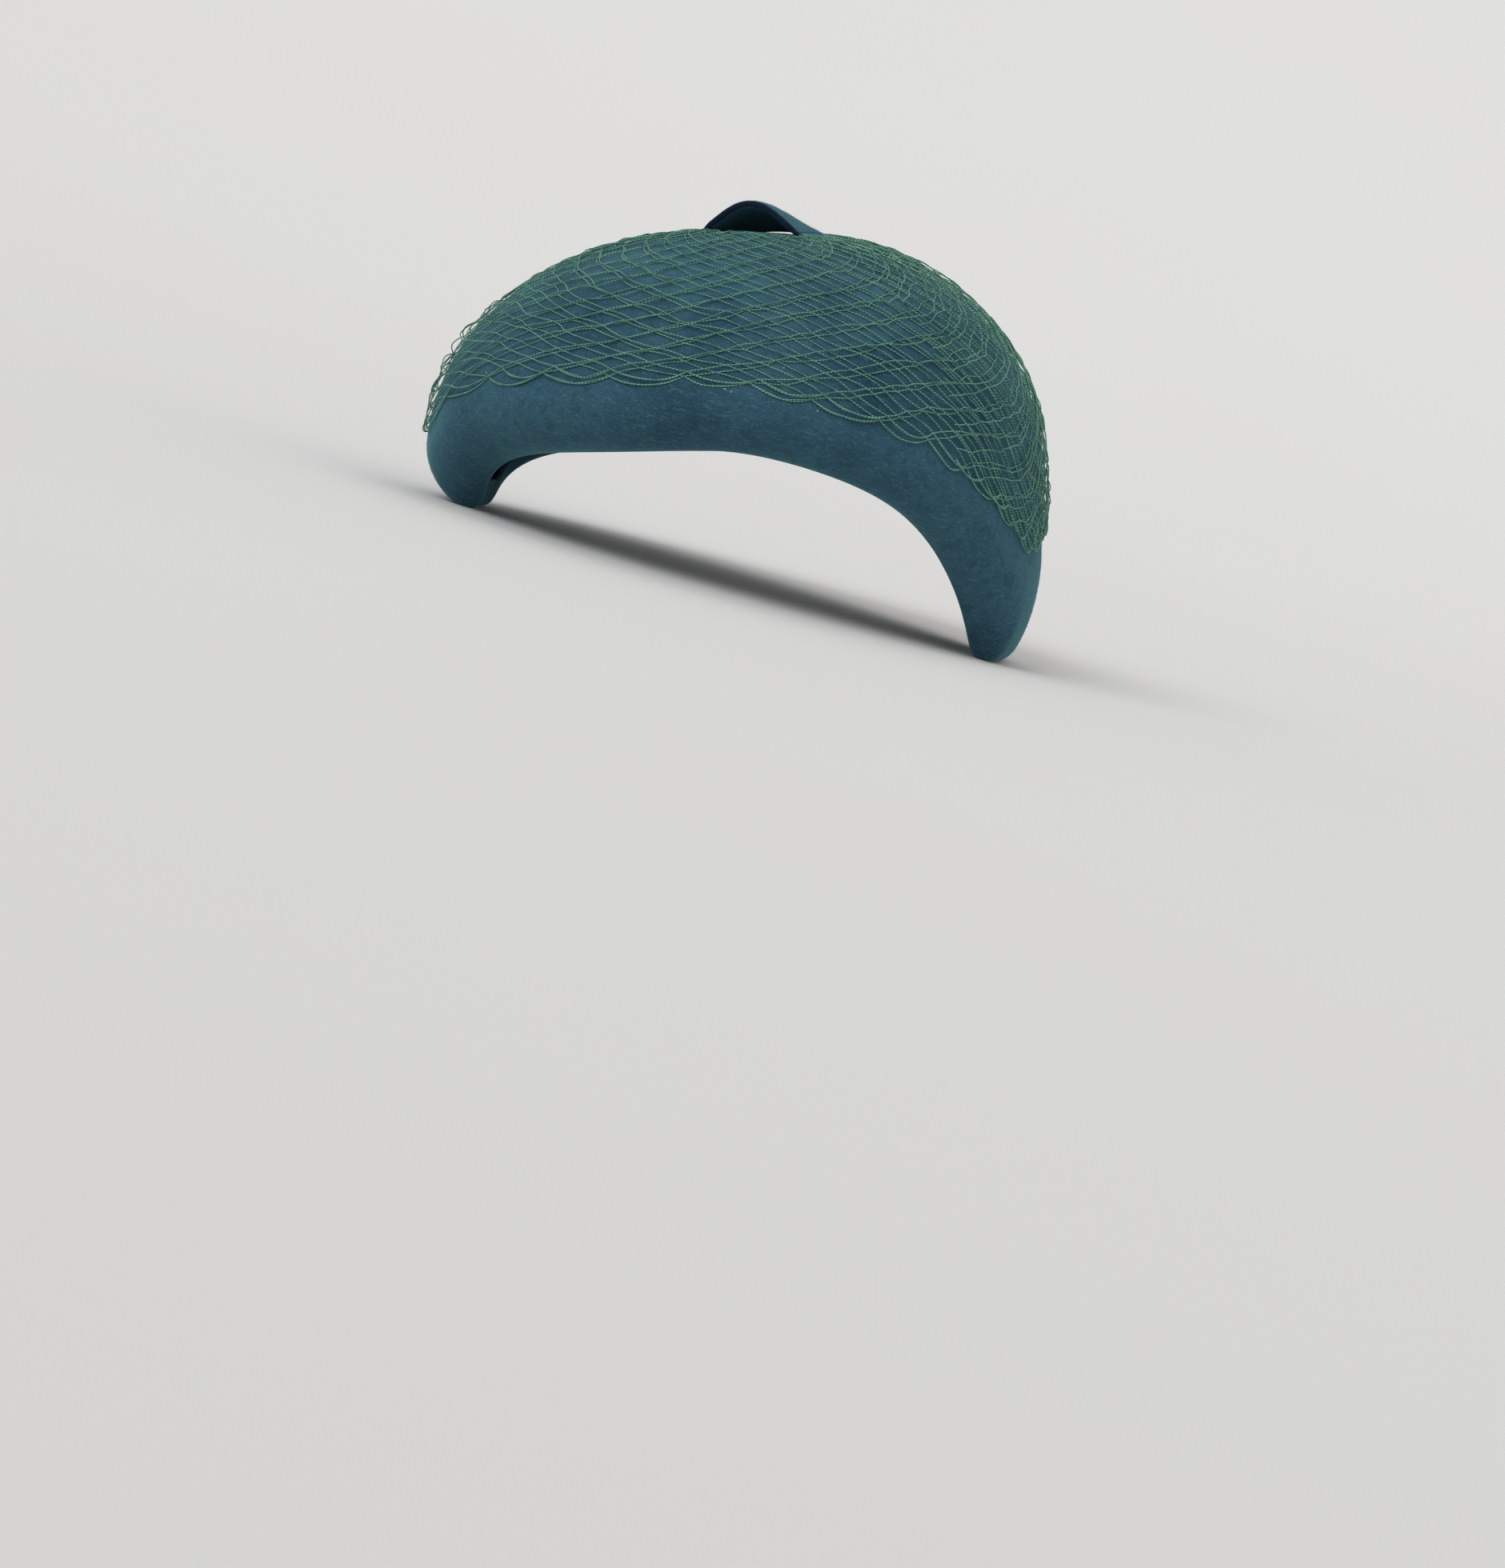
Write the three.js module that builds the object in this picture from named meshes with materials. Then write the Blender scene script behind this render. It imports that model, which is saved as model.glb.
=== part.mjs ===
// Domed felt hat with a turned-under edge, a felt loop on its tip and a veil net laid over the crown.
// Units are millimetres. +Z is up, the hat stands on its own rim at z = 0, the wearer's front is -X
// and the wearer's left side is -Y. The hat is the same left and right.
//
// The crown is shaped in the block's frame, where the dome stands upright: there a point has an
// azimuth (0 at the wearer's back, half a turn at the front) and a depth below the tip. The hat is
// deeper at the back than at the front, so standing on its rim the dome leans forward by DOME_LEAN.
import * as THREE from "three";

const degrees = Math.PI / 180;

// The felt dome, as the hat block gives it.
const DOME_HALF_LENGTH = 112.6;
const DOME_HALF_WIDTH = 97;
const DOME_HEIGHT = 84;
const DOME_ROUNDNESS = 2.14; // 2 is an ellipse, more is fuller at the shoulders
const DOME_EGG = 0.02; // how much wider the back half is
const DOME_LEAN = 16.2 * degrees;
const TIP_HEIGHT = 122.6; // the tip above the surface that the rim stands on
const FELT = 2.2;

// The lower edge: height of its lowest line above the surface, round the hat.
const SIDE_LIFT = 47; // at the middle of each side
const LIFT_TOWARDS_BACK = 27; // how the arch climbs from front to back
const LIFT_EASE = 25; // and how it levels off behind the ears
const BACK_REST = 18 * degrees; // half the arc that stands on the surface
const BACK_FLANK = 20 * degrees; // how soon the edge climbs beside it
const FRONT_REST = 12 * degrees;
const FRONT_FLANK = 14 * degrees;
const FLANK_POWER = 1.35;

// The turned-under edge, from the wall inwards.
const ROLL_HEIGHT = 18;
const ROLL_HEIGHT_EXTRA_BACK = 26;
const ROLL_DEPTH = 13;
const ROLL_DEPTH_EXTRA_BACK = 5;
const BACK_FOCUS = 6; // how closely the deeper roll keeps to the back
const SOLE = 3; // flat strip that the hat stands on
const CURL_DEPTH = 3.5;
const CURL_HEIGHT = 4.5;
const LIP_HEIGHT = 5;
const ROUND = 0.52; // length of a curve's handles, for a near circular turn

// The felt loop on the tip.
const LOOP_BACK = 12; // behind the dome's axis
const LOOP_TURN = 22 * degrees; // its opening faces the left side and a little forward
const LOOP_HALF_SPAN = 18.5;
const LOOP_FOOT = 2.5;
const LOOP_HEIGHT = 8.8; // under the strap's middle
const LOOP_WIDTH = 28;
const LOOP_BELL = 1.25;
const LOOP_FAR_SHARE = 0.12; // height left at the right-hand end of the tunnel, where it closes
const TOUCH_GAP = 0.3;

// The veil net, as the thin skin that its strands fill.
const NET_GAP = 0.9;
const NET_SKIN = 1.2;
const NET_HOLE_RADIUS = 27.5;
const NET_ABOVE_ROLL = 4;
const NET_ABOVE_ROLL_EXTRA_BACK = 2;

const CROWN_COLUMNS = 76;
const CROWN_WALL_ROWS = 12;
const CROWN_ROLL_ROWS = 5;
const CROWN_CURL_ROWS = 2;
const NET_COLUMNS = 68;
const NET_ROWS = 10;
const LOOP_STEPS = 18;
const LOOP_STRIPS = 6;

// Path length over the dome, per unit of its height: a quarter turn, then straight down.
const QUARTER = (DOME_HEIGHT * Math.PI) / 2;

// Share of the full oval, and depth below the tip, at a path length from the tip.
function domeAt(path) {
  const angle = Math.min(path / DOME_HEIGHT, Math.PI / 2);
  const power = 2 / DOME_ROUNDNESS;
  return {
    share: Math.sin(angle) ** power,
    depth: path > QUARTER
      ? DOME_HEIGHT + path - QUARTER
      : DOME_HEIGHT * (1 - Math.cos(angle) ** power),
  };
}

function pathAtDepth(depth) {
  if (depth > DOME_HEIGHT) return QUARTER + depth - DOME_HEIGHT;
  const left = Math.max(0, 1 - depth / DOME_HEIGHT);
  return DOME_HEIGHT * Math.acos(left ** (DOME_ROUNDNESS / 2));
}

function pathAtShare(share) {
  return DOME_HEIGHT * Math.asin(share ** (DOME_ROUNDNESS / 2));
}

// A point of the oval at an azimuth, in the block's frame.
function ovalAt(azimuth, share) {
  return {
    x: DOME_HALF_LENGTH * share * Math.cos(azimuth),
    y: DOME_HALF_WIDTH * share * Math.sin(azimuth) * (1 + DOME_EGG * Math.cos(azimuth)),
  };
}

// From the block's frame to the frame in which the hat stands on its rim.
function standing(x, y, depth) {
  const cos = Math.cos(DOME_LEAN);
  const sin = Math.sin(DOME_LEAN);
  return new THREE.Vector3(x * cos + depth * sin, y, x * sin - depth * cos + TIP_HEIGHT);
}

// Rises from 0 past the end of a resting arc to 1, with no kink.
function flank(past, reach) {
  return past <= 0 ? 0 : 1 - Math.exp(-((past / reach) ** FLANK_POWER));
}

function rimLift(azimuth) {
  const turn = Math.acos(Math.cos(azimuth)); // 0 at the back, half a turn at the front
  const towardsBack = Math.max(0, Math.cos(turn));
  const arch = SIDE_LIFT + LIFT_TOWARDS_BACK * Math.cos(turn) - LIFT_EASE * towardsBack ** 1.5;
  return arch * flank(turn - BACK_REST, BACK_FLANK)
    * flank(Math.PI - FRONT_REST - turn, FRONT_FLANK);
}

// 1 at the middle of the back, fading to 0 towards the sides.
function backness(azimuth) {
  return Math.max(0, Math.cos(azimuth)) ** BACK_FOCUS;
}

// The wall at an azimuth: where its roll starts, and how far down its lowest line lies.
function wallAt(azimuth) {
  const atBack = backness(azimuth);
  const rollHeight = ROLL_HEIGHT + ROLL_HEIGHT_EXTRA_BACK * atBack;
  const rollDepth = ROLL_DEPTH + ROLL_DEPTH_EXTRA_BACK * atBack;
  const lift = rimLift(azimuth);
  let share = 1;
  let path = 0;
  let depth = 0;
  for (let pass = 0; pass < 6; pass++) {
    const x = ovalAt(azimuth, share).x;
    depth = (x * Math.sin(DOME_LEAN) + TIP_HEIGHT - lift) / Math.cos(DOME_LEAN);
    path = pathAtDepth(depth - rollHeight);
    share = domeAt(path).share;
  }
  return { lift, rollHeight, rollDepth, share, path, depth };
}

function wallPoint(azimuth, path) {
  const { share, depth } = domeAt(path);
  const { x, y } = ovalAt(azimuth, share);
  return standing(x, y, depth);
}

function curve(from, fromHandle, toHandle, to, steps) {
  return new THREE.CubicBezierCurve3(from, fromHandle, toHandle, to).getPoints(steps).slice(1);
}

// The crown's outer line at an azimuth: down the wall, round the roll, over the flat sole and up
// round the curl to the lip.
function crownLine(azimuth) {
  const wall = wallAt(azimuth);
  const points = [];
  for (let row = 1; row <= CROWN_WALL_ROWS; row++) {
    points.push(wallPoint(azimuth, (wall.path * row) / CROWN_WALL_ROWS));
  }
  const start = points.at(-1);
  const down = start.clone().sub(wallPoint(azimuth, wall.path - 1)).normalize();
  const inwards = new THREE.Vector3(
    -Math.cos(azimuth) / DOME_HALF_LENGTH,
    -Math.sin(azimuth) / DOME_HALF_WIDTH,
    0,
  ).normalize();
  const up = new THREE.Vector3(0, 0, 1);
  const along = (point, direction, length) => point.clone().addScaledVector(direction, length);

  const foot = ovalAt(azimuth, wall.share);
  const sole = along(standing(foot.x, foot.y, wall.depth), inwards, wall.rollDepth);
  sole.z = wall.lift;
  points.push(...curve(
    start,
    along(start, down, ROUND * wall.rollHeight),
    along(sole, inwards, -ROUND * wall.rollDepth),
    sole,
    CROWN_ROLL_ROWS,
  ));
  const soleEnd = along(sole, inwards, SOLE);
  const lip = along(along(soleEnd, inwards, CURL_DEPTH), up, CURL_HEIGHT);
  points.push(soleEnd);
  points.push(...curve(
    soleEnd,
    along(soleEnd, inwards, ROUND * CURL_DEPTH),
    along(lip, up, -ROUND * CURL_HEIGHT),
    lip,
    CROWN_CURL_ROWS,
  ));
  points.push(along(lip, up, LIP_HEIGHT));
  return points;
}

// Points of a grid of lines (one for each azimuth) moved along the surface's outward normal.
function offsetGrid(lines, distance) {
  const columns = lines.length;
  return lines.map((line, column) => line.map((point, row) => {
    const before = line[Math.max(0, row - 1)];
    const after = line[Math.min(line.length - 1, row + 1)];
    const left = lines[(column + columns - 1) % columns][row];
    const right = lines[(column + 1) % columns][row];
    const normal = after.clone().sub(before).cross(right.clone().sub(left)).normalize();
    return point.clone().addScaledVector(normal, distance);
  }));
}

// A closed body from lines round the axis. Each line runs down the outside and back up the inside.
// With poles it closes in a point at each end, and without them each line closes on itself.
function bodyOfLines(lines, poles) {
  const columns = lines.length;
  const rows = lines[0].length;
  const positions = lines.flat().flatMap((p) => [p.x, p.y, p.z]);
  const index = [];
  const at = (column, row) => (column % columns) * rows + (row % rows);
  for (let column = 0; column < columns; column++) {
    for (let row = 0; row < (poles ? rows - 1 : rows); row++) {
      const a = at(column, row);
      const b = at(column, row + 1);
      const c = at(column + 1, row + 1);
      const d = at(column + 1, row);
      index.push(a, b, c, a, c, d);
    }
  }
  if (poles) {
    for (const pole of poles) positions.push(pole.x, pole.y, pole.z);
    const first = columns * rows;
    for (let column = 0; column < columns; column++) {
      index.push(first, at(column, 0), at(column + 1, 0));
      index.push(first + 1, at(column + 1, rows - 1), at(column, rows - 1));
    }
  }
  const geometry = new THREE.BufferGeometry();
  geometry.setAttribute("position", new THREE.Float32BufferAttribute(positions, 3));
  geometry.setIndex(index);
  geometry.computeVertexNormals();
  return geometry;
}

function azimuths(columns) {
  return Array.from({ length: columns }, (_, column) => (column / columns) * 2 * Math.PI);
}

// Felt shell of one thickness, open below, its edge turned under and up inside.
function crownGeometry() {
  const outer = azimuths(CROWN_COLUMNS).map(crownLine);
  const inner = offsetGrid(outer, -FELT);
  const lines = outer.map((line, column) => [...line, ...inner[column].reverse()]);
  return bodyOfLines(lines, [standing(0, 0, 0), standing(0, 0, FELT)]);
}

// Thin skin over the crown, from a round hole at the loop down to a line above the roll.
function netGeometry() {
  const lines = azimuths(NET_COLUMNS).map((azimuth) => {
    const across = LOOP_BACK * Math.sin(azimuth);
    const hole = LOOP_BACK * Math.cos(azimuth) + Math.sqrt(NET_HOLE_RADIUS ** 2 - across ** 2);
    const rim = ovalAt(azimuth, 1);
    const start = pathAtShare(hole / Math.hypot(rim.x, rim.y));
    const aboveRoll = NET_ABOVE_ROLL + NET_ABOVE_ROLL_EXTRA_BACK * backness(azimuth);
    const end = wallAt(azimuth).path - aboveRoll;
    return Array.from({ length: NET_ROWS + 1 }, (_, row) => (
      wallPoint(azimuth, start + ((end - start) * row) / NET_ROWS)
    ));
  });
  const under = offsetGrid(lines, NET_GAP);
  const over = offsetGrid(lines, NET_GAP + NET_SKIN);
  return bodyOfLines(over.map((line, column) => [...line, ...under[column].reverse()]), null);
}

// Height of the loop's underside above the crown: along its span a bell that meets the crown flat,
// and across the strap a tunnel that stands open at the left and droops shut at the right.
function loopRise(along, across) {
  const spanShare = Math.min(1, Math.abs(along) / LOOP_HALF_SPAN);
  const acrossShare = across / LOOP_WIDTH + 0.5;
  const height = LOOP_HEIGHT * (1 - (1 - LOOP_FAR_SHARE) * acrossShare ** 2);
  return height * Math.cos((spanShare * Math.PI) / 2) ** LOOP_BELL;
}

// A strap of felt bowed up from the tip, both ends and its right edge lying on the crown.
function loopGeometry() {
  const reach = LOOP_HALF_SPAN + LOOP_FOOT;
  const rings = [];
  for (let step = 0; step <= LOOP_STEPS; step++) {
    const along = -reach + (2 * reach * step) / LOOP_STEPS;
    const ring = [];
    for (const [layer, sign] of [[0, 1], [FELT, -1]]) {
      for (let strip = 0; strip <= LOOP_STRIPS; strip++) {
        const across = sign * LOOP_WIDTH * (0.5 - strip / LOOP_STRIPS);
        const slope = (loopRise(along + 0.1, across) - loopRise(along - 0.1, across)) / 0.2;
        const length = Math.hypot(1, slope);
        const s = along - (layer * slope) / length;
        const rise = loopRise(along, across) + layer / length + TOUCH_GAP;
        const x = LOOP_BACK + s * Math.cos(LOOP_TURN) + across * Math.sin(LOOP_TURN);
        const y = across * Math.cos(LOOP_TURN) - s * Math.sin(LOOP_TURN);
        const share = Math.hypot(x / DOME_HALF_LENGTH, y / DOME_HALF_WIDTH);
        const depth = domeAt(pathAtShare(share)).depth;
        ring.push(standing(x, y, depth - rise));
      }
    }
    rings.push(ring);
  }
  return bodyOfRings(rings);
}

// A closed body from rings of points along a path, its two end rings filled with strips.
function bodyOfRings(rings) {
  const around = rings[0].length;
  const positions = rings.flat().flatMap((p) => [p.x, p.y, p.z]);
  const index = [];
  const at = (ring, point) => ring * around + (point % around);
  for (let ring = 0; ring < rings.length - 1; ring++) {
    for (let point = 0; point < around; point++) {
      const a = at(ring, point);
      const b = at(ring + 1, point);
      const c = at(ring + 1, point + 1);
      const d = at(ring, point + 1);
      index.push(a, b, c, a, c, d);
    }
  }
  for (const [ring, flip] of [[0, false], [rings.length - 1, true]]) {
    for (let point = 0; point < around / 2 - 1; point++) {
      const a = at(ring, point);
      const b = at(ring, point + 1);
      const c = at(ring, around - 2 - point);
      const d = at(ring, around - 1 - point);
      if (flip) index.push(a, c, b, a, d, c);
      else index.push(a, b, c, a, c, d);
    }
  }
  const geometry = new THREE.BufferGeometry();
  geometry.setAttribute("position", new THREE.Float32BufferAttribute(positions, 3));
  geometry.setIndex(index);
  geometry.computeVertexNormals();
  return geometry;
}

const felt = new THREE.MeshStandardMaterial({ color: 0x14505f, roughness: 0.95, metalness: 0 });
const loopFelt = new THREE.MeshStandardMaterial({ color: 0x124654, roughness: 0.95, metalness: 0 });
const veiling = new THREE.MeshStandardMaterial({ color: 0x2d6f68, roughness: 0.8, metalness: 0 });

const pieces = [
  ["crown", crownGeometry(), felt],
  ["top_loop", loopGeometry(), loopFelt],
  ["veil_net", netGeometry(), veiling],
];

const hat = new THREE.Group();
for (const [name, geometry, material] of pieces) {
  const mesh = new THREE.Mesh(geometry, material);
  mesh.name = name;
  hat.add(mesh);
}

// The part's origin is the middle of its box, on the surface that it stands on.
const box = new THREE.Box3().setFromObject(hat);
hat.position.x = -(box.min.x + box.max.x) / 2;
hat.position.y = -(box.min.y + box.max.y) / 2;

export default hat;
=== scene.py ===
"""A domed teal felt hat with a felt loop on its tip and a veil net over the crown.

The hat stands on its own rim on a pale floor. The classes hold their sizes in millimetres, and
every mesh is made in metres. +X is the wearer's back, -Y the wearer's left, +Z up.
"""
import logging
import math
from dataclasses import dataclass, field, replace
from enum import Enum

import bpy
import numpy as np
from mathutils import Matrix, Vector


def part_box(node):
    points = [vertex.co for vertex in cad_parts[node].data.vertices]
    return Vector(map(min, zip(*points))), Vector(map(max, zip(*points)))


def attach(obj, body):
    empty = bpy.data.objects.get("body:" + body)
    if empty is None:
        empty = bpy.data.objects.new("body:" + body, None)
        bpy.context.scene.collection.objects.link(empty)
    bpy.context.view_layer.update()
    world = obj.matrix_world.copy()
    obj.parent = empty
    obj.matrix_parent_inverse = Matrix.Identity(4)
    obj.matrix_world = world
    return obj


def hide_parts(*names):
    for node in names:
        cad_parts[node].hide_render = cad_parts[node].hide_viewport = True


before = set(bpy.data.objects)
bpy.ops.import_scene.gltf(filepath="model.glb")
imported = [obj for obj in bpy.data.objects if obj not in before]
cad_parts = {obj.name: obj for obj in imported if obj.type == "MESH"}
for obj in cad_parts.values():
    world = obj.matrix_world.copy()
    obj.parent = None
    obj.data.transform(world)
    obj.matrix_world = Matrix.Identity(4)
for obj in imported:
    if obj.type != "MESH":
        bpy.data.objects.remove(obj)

log = logging.getLogger("hat")
Array = np.ndarray
MM = 0.001
TURN = 2 * math.pi
COLOUR = "NodeSocketColor"
NUMBER = "NodeSocketFloat"
PLACE = "NodeSocketVector"
Socket = bpy.types.NodeSocket
Given = Socket | float | tuple
BLACK = (0.0, 0.0, 0.0, 1.0)
ROOT = "root"
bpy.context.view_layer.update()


class Way(Enum):
    """The way a thread of the net climbs from its lower edge."""

    TOWARDS_LEFT = 1
    TOWARDS_RIGHT = -1


def unit(vectors: Array) -> Array:
    """Vectors over their lengths, with x, y, z on the last axis."""
    return vectors / np.maximum(np.linalg.norm(vectors, axis=-1, keepdims=True), 1e-12)


def smooth_step(value: Array) -> Array:
    """A step from 0 to 1 with flat ends: 3 v squared less 2 v cubed."""
    held = np.clip(value, 0, 1)
    return held * held * (3 - 2 * held)


@dataclass(frozen=True)
class SoftWaves:
    """A smooth uneven field round the hat: a sum of cosines whose phases a seed draws."""

    seed: int
    count: int = 9
    most_round: int = 9
    shortest: float = 34.0

    def at(self, azimuth: Array, path: Array) -> Array:
        """The field's value: the mean of cosines of (n azimuth + k path + phase).

        Args:
            azimuth: angles round the hat, in radians.
            path: lengths down the wall, in millimetres.

        Returns:
            Values of about -1 to 1.
        """
        draw = np.random.default_rng(self.seed)
        round_counts = draw.integers(1, self.most_round + 1, self.count)
        per_length = TURN / draw.uniform(self.shortest, 4 * self.shortest, self.count)
        phases = draw.uniform(0, TURN, self.count)
        total = sum(
            np.cos(n * azimuth + k * path + p)
            for n, k, p in zip(round_counts, per_length, phases)
        )
        return total / math.sqrt(self.count)


@dataclass(frozen=True)
class Edge:
    """Where the wall ends and the turned-under edge lies, for an array of azimuths."""

    lift: Array
    roll_height: Array
    roll_depth: Array
    share: Array
    path: Array
    depth: Array


@dataclass(frozen=True)
class HatForm:
    """The hat block's dome and the crown's lower edge, in millimetres.

    In the block's frame the dome stands upright: a point has an azimuth (0 at the back, half a
    turn at the front) and a depth below the tip. Standing on its rim the hat leans forward.
    """

    half_length: float = 112.6
    half_width: float = 97.0
    height: float = 84.0
    roundness: float = 2.14
    egg: float = 0.02
    lean: float = math.radians(16.2)
    tip_height: float = 122.6
    side_lift: float = 47.0
    lift_towards_back: float = 27.0
    lift_ease: float = 25.0
    back_rest: float = math.radians(18)
    back_flank: float = math.radians(20)
    front_rest: float = math.radians(12)
    front_flank: float = math.radians(14)
    flank_power: float = 1.35
    roll_height: float = 18.0
    roll_height_extra_back: float = 26.0
    roll_depth: float = 13.0
    roll_depth_extra_back: float = 5.0
    back_focus: int = 6
    ease_power: float = 1.5
    settling_passes: int = 6
    normal_step: float = 0.3
    normal_turn: float = 0.004
    shift: float = 0.0

    @property
    def quarter(self) -> float:
        """Path length from the tip to where the wall is upright."""
        return self.height * math.pi / 2

    def standing(self, x: Array, y: Array, depth: Array) -> Array:
        """Points of the block's frame, turned by the lean and set on the floor.

        Args:
            x: towards the back.
            y: across.
            depth: below the tip.

        Returns:
            Points in the row's frame, x, y, z last.
        """
        cos = math.cos(self.lean)
        sin = math.sin(self.lean)
        x, y, depth = np.broadcast_arrays(x, y, depth)
        return np.stack(
            [x * cos + depth * sin + self.shift, y, x * sin - depth * cos + self.tip_height],
            axis=-1,
        )

    def turned(self, x: float, y: float, up: float) -> Array:
        """A direction of the block's frame in the row's frame: a turn by the lean about Y.

        Args:
            x: its part towards the back.
            y: its part across.
            up: its part along the dome's axis.

        Returns:
            The direction, x, y, z.
        """
        cos = math.cos(self.lean)
        sin = math.sin(self.lean)
        return np.array([x * cos - up * sin, y, x * sin + up * cos])

    def dome(self, path: Array) -> tuple[Array, Array]:
        """The dome's meridian: a quarter of a superellipse, then straight down.

        The share of the full oval is sin(a) to the power 2/n and the depth is the height times
        1 less cos(a) to the same power, with a the path over the height.

        Args:
            path: lengths from the tip.

        Returns:
            The share of the full oval and the depth below the tip.
        """
        angle = np.clip(path / self.height, 0, math.pi / 2)
        power = 2 / self.roundness
        share = np.sin(angle) ** power
        depth = self.height * (1 - np.clip(np.cos(angle), 0, 1) ** power)
        return share, np.where(path > self.quarter, self.height + path - self.quarter, depth)

    def path_at_depth(self, depth: Array) -> Array:
        """The path from the tip to a depth: the dome's depth formula turned round."""
        left = np.clip(1 - depth / self.height, 0, 1) ** (self.roundness / 2)
        return np.where(
            depth > self.height, self.quarter + depth - self.height, self.height * np.arccos(left)
        )

    def path_at_share(self, share: Array) -> Array:
        """The path to a share of the full oval: the height times asin(share to n/2)."""
        return self.height * np.arcsin(np.clip(share, 0, 1) ** (self.roundness / 2))

    def oval(self, azimuth: Array, share: Array) -> tuple[Array, Array]:
        """A point of the oval: an ellipse whose back half is a little wider.

        Args:
            azimuth: angles round the hat.
            share: how far out, from 0 to 1.

        Returns:
            x and y in the block's frame.
        """
        cos = np.cos(azimuth)
        x = self.half_length * share * cos
        y = self.half_width * share * np.sin(azimuth) * (1 + self.egg * cos)
        return x, y

    def flank(self, past: Array, reach: float) -> Array:
        """Rises from 0 past a resting arc to 1: 1 less exp(-(past / reach) to a power)."""
        return 1 - np.exp(-((np.clip(past, 0, None) / reach) ** self.flank_power))

    def backness(self, azimuth: Array) -> Array:
        """1 at the middle of the back, fading to 0 at the sides: cosine to a power."""
        return np.clip(np.cos(azimuth), 0, None) ** self.back_focus

    def edge(self, azimuth: Array) -> Edge:
        """The lower edge: it rests at the front and back and arches over each ear.

        The roll's start depends on how far out the wall is there, so it is settled in a few
        passes.

        Args:
            azimuth: angles round the hat.

        Returns:
            The edge's measures at those angles.
        """
        around = np.arccos(np.cos(azimuth))
        cos = np.cos(around)
        arch = self.side_lift + self.lift_towards_back * cos
        arch = arch - self.lift_ease * np.clip(cos, 0, None) ** self.ease_power
        lift = arch * self.flank(around - self.back_rest, self.back_flank)
        lift = lift * self.flank(math.pi - self.front_rest - around, self.front_flank)
        at_back = self.backness(azimuth)
        roll_height = self.roll_height + self.roll_height_extra_back * at_back
        roll_depth = self.roll_depth + self.roll_depth_extra_back * at_back
        share = np.ones_like(lift)
        for _ in range(self.settling_passes):
            x, _ = self.oval(azimuth, share)
            depth = (x * math.sin(self.lean) + self.tip_height - lift) / math.cos(self.lean)
            path = self.path_at_depth(depth - roll_height)
            share, _ = self.dome(path)
        return Edge(lift, roll_height, roll_depth, share, path, depth)

    def wall(self, azimuth: Array, path: Array) -> Array:
        """Points of the dome and wall: the oval at the meridian's share and depth."""
        share, depth = self.dome(path)
        return self.standing(*self.oval(azimuth, share), depth)

    def over_wall(self, azimuth: Array, path: Array, height: Array) -> tuple[Array, Array]:
        """Points above the wall, along its normal: the cross product of its two tangents.

        Args:
            azimuth: angles round the hat.
            path: lengths from the tip.
            height: distances above the felt.

        Returns:
            The points and the outward normals.
        """
        small = self.normal_step
        turn = self.normal_turn
        down = self.wall(azimuth, path + small) - self.wall(azimuth, path - small)
        across = self.wall(azimuth + turn, path) - self.wall(azimuth - turn, path)
        normal = unit(np.cross(down, across))
        return self.wall(azimuth, path) + height[..., None] * normal, normal


@dataclass
class MeshParts:
    """Points and faces gathered for one mesh, with UVs at corners."""

    points: list[Array] = field(default_factory=list)
    quads: list[Array] = field(default_factory=list)
    triangles: list[Array] = field(default_factory=list)
    quad_uvs: list[Array] = field(default_factory=list)
    triangle_uvs: list[Array] = field(default_factory=list)
    count: int = 0

    def add(
        self,
        points: Array,
        quads: Array | None = None,
        triangles: Array | None = None,
        quad_uv: Array | None = None,
    ) -> None:
        """Adds points and the faces between them; faces count from the first point added.

        Args:
            points: in millimetres, any shape that ends in x, y, z.
            quads: rows of four point numbers.
            triangles: rows of three point numbers.
            quad_uv: u and v for each corner of each quad.
        """
        flat = points.reshape(-1, 3)
        if quads is not None and len(quads):
            self.quads.append(quads.reshape(-1, 4) + self.count)
            uv = np.zeros((quads.size, 2)) if quad_uv is None else quad_uv.reshape(-1, 2)
            self.quad_uvs.append(uv)
        if triangles is not None and len(triangles):
            self.triangles.append(triangles.reshape(-1, 3) + self.count)
            self.triangle_uvs.append(np.zeros((triangles.size, 2)))
        self.points.append(flat)
        self.count += len(flat)

    def build(self, name: str) -> bpy.types.Object:
        """Makes the mesh object, in metres, smooth shaded, at the origin.

        Args:
            name: the piece's name.

        Returns:
            The new object, linked to the scene.
        """
        quads = np.concatenate(self.quads) if self.quads else np.zeros((0, 4), int)
        triangles = np.concatenate(self.triangles) if self.triangles else np.zeros((0, 3), int)
        corners = np.concatenate([quads.ravel(), triangles.ravel()])
        starts = np.concatenate([
            4 * np.arange(len(quads)), quads.size + 3 * np.arange(len(triangles)),
        ])
        mesh = bpy.data.meshes.new(name)
        mesh.vertices.add(self.count)
        mesh.vertices.foreach_set("co", (np.concatenate(self.points) * MM).ravel())
        mesh.loops.add(len(corners))
        mesh.loops.foreach_set("vertex_index", corners.astype(np.int32))
        mesh.polygons.add(len(starts))
        mesh.polygons.foreach_set("loop_start", starts.astype(np.int32))
        uvs = np.concatenate([*self.quad_uvs, *self.triangle_uvs])
        mesh.uv_layers.new(name="run").data.foreach_set("uv", uvs.ravel())
        mesh.update(calc_edges=True)
        mesh.polygons.foreach_set("use_smooth", np.ones(len(starts), bool))
        mesh.validate()
        piece = bpy.data.objects.new(name, mesh)
        bpy.context.scene.collection.objects.link(piece)
        return piece


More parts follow.
